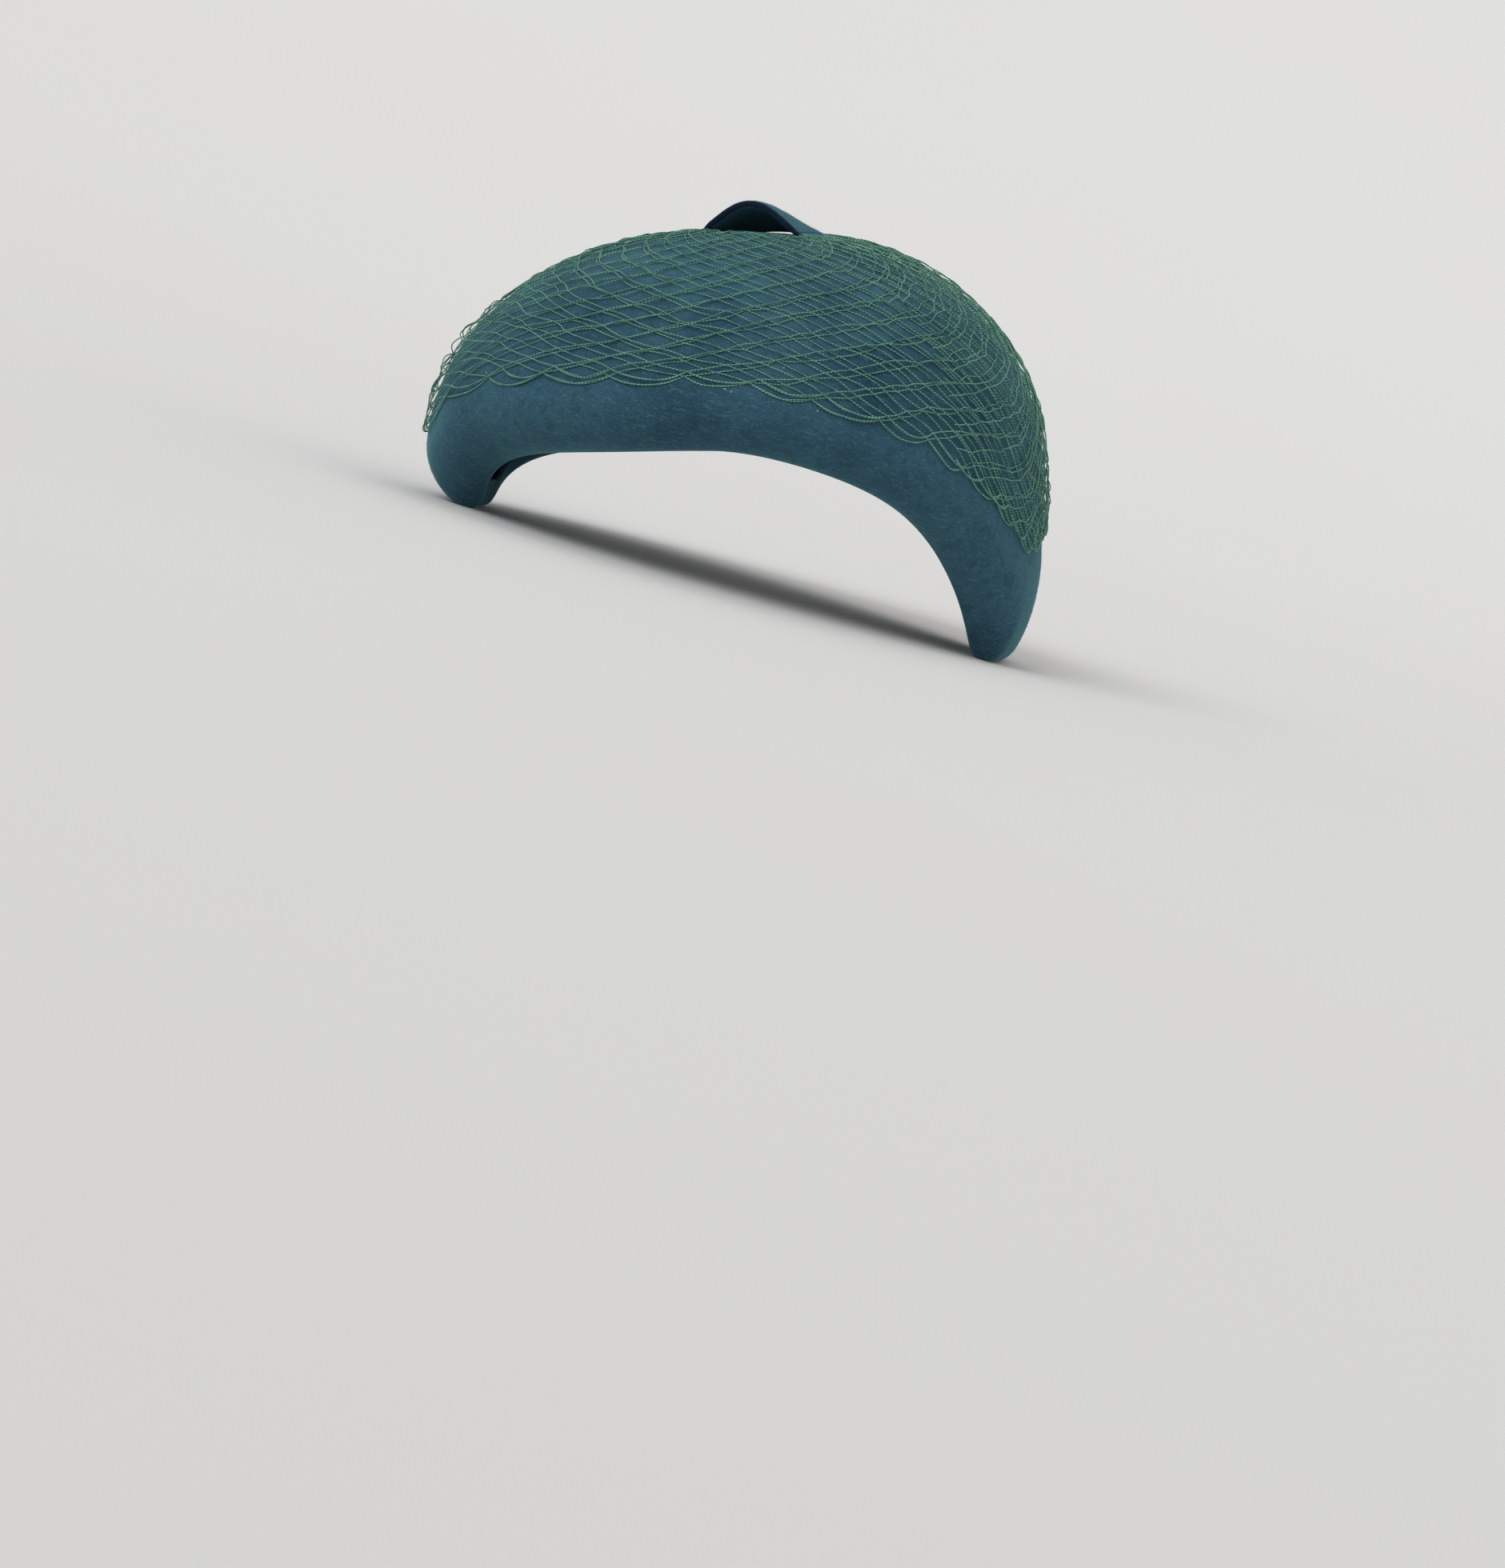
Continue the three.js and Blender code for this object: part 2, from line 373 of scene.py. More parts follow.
def set_point_value(piece: bpy.types.Object, name: str, values: Array) -> None:
    """Stores one number for each point of a mesh, for its material to read."""
    layer = piece.data.attributes.new(name, "FLOAT", "POINT")
    layer.data.foreach_set("value", values.astype(np.float32).ravel())


def grid_quads(columns: int, rows: int) -> Array:
    """Quads of a grid whose columns close round and whose rows don't.

    Args:
        columns: number of columns.
        rows: number of points in each column.

    Returns:
        Rows of four point numbers, column by column.
    """
    column = np.arange(columns)[:, None]
    row = np.arange(rows - 1)[None]
    here = column * rows + row
    beside = (column + 1) % columns * rows + row
    return np.stack([here, here + 1, beside + 1, beside], axis=-1).reshape(-1, 4)


def ring_quads(rings: int, around: int) -> Array:
    """Quads between closed rings of points that follow each other along a length.

    Args:
        rings: number of rings.
        around: points in each ring.

    Returns:
        Four point numbers for each quad, rings by points.
    """
    start = around * np.arange(rings - 1)[:, None]
    point = np.arange(around)[None]
    after = (point + 1) % around
    return np.stack(
        [start + point, start + after, start + around + after, start + around + point], axis=-1
    )


def fan(centre: Array | int, ring: Array) -> Array:
    """Triangles from a centre to each side of a closed ring; a reversed ring turns them over."""
    corners = np.broadcast_arrays(centre, ring, np.roll(ring, -1, axis=-1))
    return np.stack(corners, axis=-1).reshape(-1, 3)


def add_tubes(
    parts: MeshParts, lines: Array, normals: Array, radius: Array, sides: int = 5
) -> None:
    """Adds round threads: each point of a line gets a ring square to the line.

    A ring's points are the line's point plus the radius times (cos a normal + sin a side), and
    each end closes in a point.

    Args:
        parts: what they are added to.
        lines: points, one row for each thread.
        normals: a direction away from the felt at each point.
        radius: the thread's radius at each point.
        sides: points in each ring.
    """
    threads, steps, _ = lines.shape
    tangent = unit(np.gradient(lines, axis=1))
    side = unit(np.cross(tangent, normals))
    upright = np.cross(side, tangent)
    angle = TURN * np.arange(sides) / sides
    rings = lines[:, :, None] + radius[:, :, None, None] * (
        np.cos(angle)[:, None] * upright[:, :, None] + np.sin(angle)[:, None] * side[:, :, None]
    )
    first = np.arange(threads)[:, None] * steps * sides
    quads = first[..., None, None] + ring_quads(steps, sides)[None]
    length = np.linalg.norm(np.diff(lines, axis=1), axis=-1).cumsum(axis=1)
    length = np.concatenate([np.zeros((threads, 1)), length], axis=1)
    low, high, start = np.broadcast_arrays(
        length[:, :-1, None], length[:, 1:, None], np.arange(sides) / sides
    )
    corners = ((low, start), (low, start + 1 / sides), (high, start + 1 / sides), (high, start))
    uv = np.stack([np.stack(corner, axis=-1) for corner in corners], axis=-2)
    ring = np.arange(sides)[None]
    tips = threads * steps * sides + np.arange(threads)[:, None]
    last = first + (steps - 1) * sides
    caps = np.concatenate([fan(tips, first + ring[:, ::-1]), fan(tips + threads, last + ring)])
    ends = np.concatenate([
        lines[:, 0] - tangent[:, 0] * radius[:, :1], lines[:, -1] + tangent[:, -1] * radius[:, -1:],
    ])
    parts.add(np.concatenate([rings.reshape(-1, 3), ends]), quads, caps, uv)


def add_fibres(parts: MeshParts, roots: Array, tips: Array, width: float) -> None:
    """Adds fine hairs, each a three-sided pyramid with its point at the tip.

    Args:
        parts: what they are added to.
        roots: where each hair leaves the felt.
        tips: where it ends.
        width: across its root.
    """
    along = unit(tips - roots)
    steep = 0.8
    other = np.where(np.abs(along[:, 2:]) < steep, [[0.0, 0.0, 1.0]], [[1.0, 0.0, 0.0]])
    side = unit(np.cross(along, other))
    upright = np.cross(along, side)
    angle = TURN * np.arange(3) / 3
    base = roots[:, None] + width / 2 * (
        np.cos(angle)[:, None] * side[:, None] + np.sin(angle)[:, None] * upright[:, None]
    )
    points = np.concatenate([base, tips[:, None]], axis=1)
    first = 4 * np.arange(len(roots))[:, None, None]
    faces = np.array([[0, 1, 3], [1, 2, 3], [2, 0, 3], [0, 2, 1]])[None]
    parts.add(points, triangles=(first + faces).reshape(-1, 3))


def grid_normals(grid: Array) -> Array:
    """Outward normals of a grid: the cross product of its differences down and round.

    Args:
        grid: points, columns by rows; the columns close round.

    Returns:
        Unit vectors at each point.
    """
    down = np.gradient(grid, axis=1)
    around = np.roll(grid, -1, axis=0) - np.roll(grid, 1, axis=0)
    return unit(np.cross(down, around))


def scatter_on_grid(
    grid: Array, normals: Array, count: int, draw: np.random.Generator
) -> tuple[Array, Array, Array]:
    """Places spread evenly over a grid's area: cells drawn by area, then a place in each.

    Args:
        grid: points, columns by rows; the columns close round.
        normals: outward normals at the points.
        count: how many places.
        draw: the source of random numbers.

    Returns:
        The places, their normals and the direction down the columns there.
    """
    beside = np.roll(grid, -1, axis=0)
    down = grid[:, 1:] - grid[:, :-1]
    area = np.linalg.norm(np.cross(down, beside[:, :-1] - grid[:, :-1]), axis=-1)
    cell = draw.choice(area.size, count, p=(area / area.sum()).ravel())
    column, row = np.unravel_index(cell, area.shape)
    across, along = draw.random((2, count, 1))
    place = (
        grid[column, row] * (1 - across) * (1 - along) + beside[column, row] * across * (1 - along)
        + grid[column, row + 1] * (1 - across) * along + beside[column, row + 1] * across * along
    )
    return place, normals[column, row], unit(down[column, row])


@dataclass(frozen=True)
class Nap:
    """Short hairs that stand off a felt face and lie down it, more or less."""

    seed: int
    count: int
    shortest: float
    longest: float
    upright: float
    brushed: float
    stray: float
    sunk: float
    root_depth: float = 0.05
    width: float = 0.07
    above_floor: float = 1.5

    def build(self, name: str, grid: Array, normals: Array) -> bpy.types.Object:
        """Builds the hairs; each leans by its normal, the way down the face and a random stray.

        Args:
            name: the piece's name.
            grid: the face's points, columns by rows; the columns close round.
            normals: its outward normals.

        Returns:
            The new mesh object.
        """
        draw = np.random.default_rng(self.seed)
        place, normal, down = scatter_on_grid(grid, normals, self.count, draw)
        across = np.cross(normal, down)
        stray = draw.normal(0, self.stray, (2, self.count, 1))
        lean = unit(normal * self.upright + down * (self.brushed + stray[0]) + across * stray[1])
        length = draw.uniform(self.shortest, self.longest, (self.count, 1))
        roots = place - self.root_depth * normal
        tips = place - self.sunk * normal + lean * length
        keep = place[:, 2] > self.above_floor
        parts = MeshParts()
        add_fibres(parts, roots[keep], tips[keep], self.width)
        return parts.build(name)


class Graph:
    """Shorthand for adding and linking the nodes of a material or a node group.

    Its four numbers are the Mix node's sockets for colours.
    """

    SHARE = 0
    LOW = 6
    HIGH = 7
    MIXED = 2

    def __init__(self, tree: bpy.types.NodeTree) -> None:
        """Keeps the material's or the group's tree, which nodes are added to."""
        self.tree = tree

    def put(self, node: bpy.types.Node, inputs: dict) -> None:
        """Sets or links a node's inputs.

        Args:
            node: the node.
            inputs: for each input's name or number, a value or an output socket.
        """
        for name, value in inputs.items():
            if isinstance(value, Socket):
                self.tree.links.new(value, node.inputs[name])
            else:
                node.inputs[name].default_value = value

    def add(self, kind: str, inputs: dict | None = None, **settings: object) -> bpy.types.Node:
        """Adds a node, sets its properties, and sets or links its inputs.

        Args:
            kind: the node's type.
            inputs: for each input's name or number, a value or an output socket.
            settings: the node's own properties.

        Returns:
            The new node.
        """
        node = self.tree.nodes.new(kind)
        for name, value in settings.items():
            setattr(node, name, value)
        self.put(node, inputs or {})
        return node

    def mix(self, share: Given, low: Given, high: Given) -> Socket:
        """Mixes two colours by a share from 0 to 1; each may be a value or a socket."""
        inputs = {self.SHARE: share, self.LOW: low, self.HIGH: high}
        return self.add("ShaderNodeMix", inputs, data_type="RGBA").outputs[self.MIXED]

    def ramp(self, value: Socket, low: float, high: float) -> Socket:
        """Maps the range from low to high smoothly onto 0 to 1."""
        inputs = {"Value": value, "From Min": low, "From Max": high}
        return self.add("ShaderNodeMapRange", inputs, interpolation_type="SMOOTHSTEP").outputs["Result"]

    def maths(self, operation: str, first: Given, second: Given = 0.0) -> Socket:
        """One sum on two values, each a number or a socket."""
        return self.add("ShaderNodeMath", {0: first, 1: second}, operation=operation).outputs[0]

    def scaled(self, value: Given, times: float, plus: Given = 0.0) -> Socket:
        """A value times one number plus another."""
        return self.maths("ADD", self.maths("MULTIPLY", value, times), plus)

    def place(self) -> Socket:
        """The place on the piece: its Object coordinates."""
        return self.add("ShaderNodeTexCoord").outputs["Object"]

    def noise(self, place: Socket, scale: Given, **others: float) -> Socket:
        """Noise at a place and a scale, with the node's other inputs named in small letters."""
        named = {name.capitalize(): value for name, value in others.items()}
        return self.add("ShaderNodeTexNoise", {"Vector": place, "Scale": scale, **named}).outputs["Fac"]


def new_group(name: str, inputs: dict, outputs: dict) -> tuple[bpy.types.NodeTree, Graph]:
    """Starts a shader node group with named inputs and outputs.

    Args:
        name: the group's name.
        inputs: for each input, its socket type and its value.
        outputs: for each output, its socket type.

    Returns:
        The group and a graph to fill it with.
    """
    group = bpy.data.node_groups.new(name, "ShaderNodeTree")
    for socket, (kind, value) in inputs.items():
        made = group.interface.new_socket(socket, in_out="INPUT", socket_type=kind)
        if value is not None:
            made.default_value = value
    for socket, kind in outputs.items():
        group.interface.new_socket(socket, in_out="OUTPUT", socket_type=kind)
    return group, Graph(group)


class NapGroup:
    """Felt's look: matted fibres as fine specks, soft clouds of tone, a low relief, and painted shade
    in its hollows.
    """

    def __init__(self) -> None:
        """Builds the group: noise at three sizes, the finest stretched along lying fibres."""
        self.tree, graph = new_group(
            "felt nap",
            {
                "Vector": (PLACE, None), "Deep": (COLOUR, BLACK), "Middle": (COLOUR, BLACK),
                "Light": (COLOUR, BLACK), "Clouds": (NUMBER, 18.0), "Fibres": (NUMBER, 900.0),
            },
            {"Color": COLOUR, "Height": NUMBER, "Roughness": NUMBER},
        )
        given = graph.add("NodeGroupInput").outputs
        place = given["Vector"]
        clouds = graph.noise(place, given["Clouds"], detail=3.0, roughness=0.6)
        tuft_scale = graph.maths("MULTIPLY", given["Fibres"], 0.3)
        tufts = graph.noise(place, tuft_scale, detail=2.0, distortion=0.6)
        brushed = graph.add("ShaderNodeMapping", {
            "Vector": place, "Rotation": (0.5, 0.3, 0.2), "Scale": (0.35, 1.0, 1.3),
        }).outputs[0]
        fibres = graph.noise(brushed, given["Fibres"], detail=2.5, roughness=0.7, distortion=1.4)
        tone = graph.mix(graph.ramp(clouds, 0.32, 0.68), given["Deep"], given["Middle"])
        specks = graph.ramp(fibres, 0.46, 0.78)
        tone = graph.mix(graph.maths("MULTIPLY", specks, 0.62), tone, given["Light"])
        # Painted shade: where the tuft noise is low the relief sinks, and the tone is mixed towards
        # Deep there.
        painted_hollow_shade = graph.ramp(tufts, 0.52, 0.28)
        tone = graph.mix(graph.maths("MULTIPLY", painted_hollow_shade, 0.5), tone, given["Deep"])
        graph.add("NodeGroupOutput", {
            "Color": tone, "Height": graph.scaled(tufts, 0.6, fibres),
            "Roughness": graph.scaled(specks, -0.12, 0.95),
        })


class PaintedTopLightGroup:
    """Painted top light: a paler tint of the material where a surface faces up, in uneven patches."""

    def __init__(self) -> None:
        """Builds the group: how far the normal faces up, times noise, mixes the paler tint over a
        colour as painted light from above.
        """
        self.tree, graph = new_group(
            "painted_top_light", {"Color": (COLOUR, BLACK), "PaintedTopLight": (COLOUR, BLACK), "Amount": (NUMBER, 0.1)},
            {"Color": COLOUR},
        )
        given = graph.add("NodeGroupInput").outputs
        # Painted light from above: the more a face points up, the more of the paler tint it gets,
        # broken up by noise.
        facing = graph.add("ShaderNodeSeparateXYZ", {
            0: graph.add("ShaderNodeNewGeometry").outputs["Normal"],
        }).outputs["Z"]
        drift = graph.noise(graph.place(), 55.0, detail=4.0, roughness=0.65)
        share = graph.maths("MULTIPLY", graph.ramp(facing, 0.0, 1.0), graph.ramp(drift, 0.35, 0.75))
        share = graph.maths("MULTIPLY", share, given["Amount"])
        graph.add("NodeGroupOutput", {"Color": graph.mix(share, given["Color"], given["PaintedTopLight"])})

    def over(self, graph: Graph, colour: Socket, painted_top_light: tuple, amount: float) -> Socket:
        """Places the group over a material's colour and gives the socket of the colour with painted top
        light.
        """
        inputs = {"Color": colour, "PaintedTopLight": painted_top_light, "Amount": amount}
        return graph.add("ShaderNodeGroup", inputs, node_tree=self.tree).outputs["Color"]


@dataclass(frozen=True)
class SharedGroups:
    """The node groups that more than one finish places."""

    nap: NapGroup
    painted_top_light: PaintedTopLightGroup


def new_material(name: str, settings: dict) -> tuple[bpy.types.Material, Graph, bpy.types.Node]:
    """Starts a material with a Principled shader whose constants sit on its own sockets.

    Args:
        name: the material's name.
        settings: for each of the shader's inputs, its value.

    Returns:
        The material, a graph to fill it with, and the shader node.
    """
    material = bpy.data.materials.new(name)
    material.use_nodes = True
    material.node_tree.nodes.clear()
    graph = Graph(material.node_tree)
    shader = graph.add("ShaderNodeBsdfPrincipled", settings)
    graph.add("ShaderNodeOutputMaterial", {"Surface": shader.outputs[0]})
    return material, graph, shader


@dataclass(frozen=True)
class FeltFinish:
    """Velvety wool felt: three tones of teal, a sheen at grazing angles, darker cut edges."""

    name: str
    deep: tuple = (0.018, 0.052, 0.086, 1)
    middle: tuple = (0.034, 0.094, 0.138, 1)
    light: tuple = (0.085, 0.205, 0.240, 1)
    cut: tuple = (0.006, 0.012, 0.030, 1)
    sheen: tuple = (0.30, 0.72, 0.76, 1)
    sheen_weight: float = 0.42
    # Painted top light: a paler teal mixed over upward-facing felt.
    painted_top_light: tuple = (0.10, 0.26, 0.26, 1)
    painted_top_light_amount: float = 0.28
    relief: float = 0.35
    has_cut_edge: bool = False

    def make(self, groups: SharedGroups) -> bpy.types.Material:
        """Builds the material.

        Args:
            groups: the shared node groups.

        Returns:
            The material.
        """
        material, graph, shader = new_material(self.name, {
            "Sheen Weight": self.sheen_weight, "Sheen Roughness": 0.42, "Sheen Tint": self.sheen,
            "Specular IOR Level": 0.12,
        })
        nap = graph.add("ShaderNodeGroup", {
            "Vector": graph.place(), "Deep": self.deep, "Middle": self.middle, "Light": self.light,
        }, node_tree=groups.nap.tree).outputs
        # Painted light from above over the felt's colour.
        colour = groups.painted_top_light.over(graph, nap["Color"], self.painted_top_light, self.painted_top_light_amount)
        if self.has_cut_edge:
            edge = graph.add("ShaderNodeAttribute", attribute_name="cut_edge").outputs["Fac"]
            colour = graph.mix(edge, colour, self.cut)
        bump = graph.add("ShaderNodeBump", {
            "Height": nap["Height"], "Strength": self.relief, "Distance": 0.0006,
        })
        graph.put(shader, {
            "Base Color": colour, "Roughness": nap["Roughness"], "Normal": bump.outputs[0],
        })
        return material


@dataclass(frozen=True)
class ThreadFinish:
    """Fine twisted veiling thread: its plies run round it as a helical relief, and painted shade
    darkens the grooves between the pale plies into dark bands.
    """

    name: str
    pale: tuple = (0.185, 0.420, 0.295, 1)
    # Painted shade: the colour of the grooves between the plies.
    deep: tuple = (0.035, 0.130, 0.110, 1)
    # Painted top light: a paler green mixed over upward-facing thread.
    painted_top_light: tuple = (0.30, 0.46, 0.34, 1)
    painted_top_light_amount: float = 0.35
    twist: float = 1.3

    def make(self, groups: SharedGroups) -> bpy.types.Material:
        """Builds the material: the sine of (length over twist + angle) bands its relief, and as painted
        shade darkens the colour in its grooves.

        Args:
            groups: the shared node groups.

        Returns:
            The material.
        """
        material, graph, shader = new_material(self.name, {
            "Sheen Weight": 0.25, "Sheen Roughness": 0.5, "Sheen Tint": (0.5, 0.85, 0.7, 1),
            "Specular IOR Level": 0.3,
        })
        run = graph.add("ShaderNodeUVMap", uv_map="run").outputs[0]
        along = graph.add("ShaderNodeSeparateXYZ", {0: run}).outputs
        phase = graph.maths("ADD", graph.maths("DIVIDE", along["X"], self.twist), along["Y"])
        band = graph.maths("SINE", graph.maths("MULTIPLY", phase, TURN))
        uneven = graph.noise(graph.place(), 210.0, detail=2.0)
        share = graph.maths("MULTIPLY", graph.ramp(band, -1.0, 0.8), graph.ramp(uneven, 0.2, 0.6))
        # Painted shade: dark where the twist's relief is low, pale on its crests.
        colour = graph.mix(share, self.deep, self.pale)
        bump = graph.add("ShaderNodeBump", {"Height": band, "Strength": 0.5, "Distance": 0.0001})
        graph.put(shader, {
            # Painted light from above over the thread's colour.
            "Base Color": groups.painted_top_light.over(graph, colour, self.painted_top_light, self.painted_top_light_amount),
            "Roughness": graph.scaled(uneven, 0.3, 0.55), "Normal": bump.outputs[0],
        })
        return material


@dataclass(frozen=True)
class HairFinish:
    """Single loose hairs, lighter towards a tint that a noise picks."""

    name: str
    dark: tuple
    pale: tuple

    def make(self) -> bpy.types.Material:
        """Builds the material, whose tint and roughness follow one noise.

        Returns:
            The material.
        """
        material, graph, shader = new_material(self.name, {
            "Sheen Weight": 0.5, "Sheen Roughness": 0.5, "Sheen Tint": self.pale,
            "Specular IOR Level": 0.15,
        })
        tint = graph.noise(graph.place(), 600.0)
        graph.put(shader, {
            "Base Color": graph.mix(graph.ramp(tint, 0.3, 0.7), self.dark, self.pale),
            "Roughness": graph.scaled(tint, 0.2, 0.7),
        })
        return material


def finish_piece(
    piece: bpy.types.Object, material: bpy.types.Material, slot: str | None, *nodes: str
) -> None:
    """Gives a piece its material and its body, and hides the CAD nodes it stands for.

    The log counts a face of n corners as n - 2 triangles.

    Args:
        piece: the mesh object.
        material: its finish.
        slot: the record's material slot, or None; not used.
        nodes: CAD nodes that it replaces.
    """
    piece.data.materials.append(material)
    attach(piece, ROOT)
    if nodes:
        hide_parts(*nodes)
    triangles = len(piece.data.loops) - 2 * len(piece.data.polygons)
    log.info("%s: %d points, %d triangles", piece.name, len(piece.data.vertices), triangles)


@dataclass
class Crown:
    """The felt crown: one shell, its edge turned under, curled in and up inside."""

    form: HatForm
    felt: float = 2.2
    sole: float = 3.0
    curl_depth: float = 3.5
    curl_height: float = 4.5
    lip_height: float = 5.0
    roundness: float = 0.52
    columns: int = 288
    wall_rows: int = 64
    roll_rows: int = 22
    curl_rows: int = 6
    lip_rows: int = 3
    edge_rows: int = 5
    unevenness: float = 0.28
    fade_height: float = 9.0
    fade_start: float = 0.1
    sole_share: float = 0.5
    nap: Nap = Nap(
        seed=17, count=44000, shortest=0.3375, longest=0.9, upright=0.75, brushed=0.55, stray=0.55,
        sunk=0.05,
    )

    def outline(self) -> Array:
        """The outer face: down the wall, round a Bezier roll, over the sole, up to the lip.

        Returns:
            Points, columns by rows.
        """
        form = self.form
        azimuth = TURN * np.arange(self.columns) / self.columns
        edge = form.edge(azimuth)
        rows = np.arange(1, self.wall_rows + 1) / self.wall_rows
        wall = form.wall(azimuth[:, None], edge.path[:, None] * rows)
        start = wall[:, -1]
        down = unit(start - form.wall(azimuth, edge.path - 1))
        inwards = unit(np.stack([
            -np.cos(azimuth) / form.half_length, -np.sin(azimuth) / form.half_width, 0 * azimuth,
        ], axis=-1))
        up = np.array([0.0, 0.0, 1.0])
        roll_depth = edge.roll_depth[:, None]
        roll_height = edge.roll_height[:, None]
        sole = form.standing(*form.oval(azimuth, edge.share), edge.depth) + inwards * roll_depth
        sole[:, 2] = edge.lift
        roll = self.bezier(
            start, start + down * self.roundness * roll_height,
            sole - inwards * self.roundness * roll_depth, sole, self.roll_rows,
        )
        sole_end = sole + inwards * self.sole
        lip = sole_end + inwards * self.curl_depth + up * self.curl_height
        curl = self.bezier(
            sole_end, sole_end + inwards * self.roundness * self.curl_depth,
            lip - up * self.roundness * self.curl_height, lip, self.curl_rows,
        )
        rise = self.lip_height * np.arange(1, self.lip_rows + 1) / self.lip_rows
        end = lip[:, None] + up * rise[None, :, None]
        return np.concatenate([wall, roll, sole_end[:, None], curl, end], axis=1)

    @staticmethod
    def bezier(start: Array, first: Array, second: Array, end: Array, steps: int) -> Array:
        """A cubic Bezier curve for each column, without its first point.

        Args:
            start: first points.
            first: first handles.
            second: second handles.
            end: last points.
            steps: number of steps.

        Returns:
            Points, columns by steps.
        """
        t = (np.arange(1, steps + 1) / steps)[None, :, None]
        return (
            (1 - t) ** 3 * start[:, None] + 3 * (1 - t) ** 2 * t * first[:, None]
            + 3 * (1 - t) * t * t * second[:, None] + t**3 * end[:, None]
        )

    def outer_face(self) -> tuple[Array, Array]:
        """The outer face with the slight unevenness of hand-blocked felt, and its normals.

        The face moves along its normal by soft waves that fade out where it nears the floor.

        Returns:
            Points and normals, columns by rows.
        """
        grid = self.outline()
        normals = grid_normals(grid)
        azimuth = TURN * np.arange(self.columns)[:, None] / self.columns
        steps = np.linalg.norm(np.diff(grid, axis=1, prepend=grid[:, :1]), axis=-1)
        waves = SoftWaves(seed=3).at(azimuth, steps.cumsum(axis=1))
        fade = smooth_step(grid[..., 2] / self.fade_height - self.fade_start)
        moved = grid + (self.unevenness * waves * fade)[..., None] * normals
        return moved, normals

    def build(self, groups: SharedGroups) -> None:
        """Builds the shell and its nap.

        Args:
            groups: the shared node groups.
        """
        outer, normals = self.outer_face()
        inner = outer - self.felt * normals
        inner[..., 2] = np.maximum(inner[..., 2], self.felt * self.sole_share)
        middle = (outer[:, -1] + inner[:, -1]) / 2
        radius = np.linalg.norm(outer[:, -1] - middle, axis=-1, keepdims=True)
        tangent = unit(outer[:, -1] - outer[:, -2])
        angle = (math.pi * np.arange(1, self.edge_rows) / self.edge_rows)[None, :, None]
        out = unit(outer[:, -1] - middle)
        rim = middle[:, None] + radius[:, None] * (
            np.cos(angle) * out[:, None] + np.sin(angle) * tangent[:, None]
        )
        lines = np.concatenate([outer, rim, inner[:, ::-1]], axis=1)
        rows = lines.shape[1]
        tip = self.form.standing(0.0, 0.0, 0.0)
        under_tip = self.form.standing(0.0, 0.0, self.felt)
        points = np.concatenate([lines.reshape(-1, 3), [tip, under_tip]])
        first = rows * np.arange(self.columns)
        last = first + rows - 1
        top = len(points) - 2
        poles = np.concatenate([fan(top, first), fan(top + 1, last[::-1])])
        parts = MeshParts()
        parts.add(points, grid_quads(self.columns, rows), poles)
        finish = FeltFinish("teal_felt").make(groups)
        finish_piece(parts.build("crown_felt_shell"), finish, "crown_felt", "crown")
        self.build_nap(outer, normals)

    def build_nap(self, outer: Array, normals: Array) -> None:
        """Builds the short hairs that stand off the felt, brushed down towards its edge.

        Args:
            outer: the outer face's points.
            normals: its normals.
        """
        rows = self.wall_rows + self.roll_rows
        piece = self.nap.build("crown_felt_nap", outer[:, :rows], normals[:, :rows])
        finish = HairFinish("felt_hair", (0.022, 0.110, 0.140, 1), (0.075, 0.270, 0.290, 1))
        finish_piece(piece, finish.make(), "crown_felt")


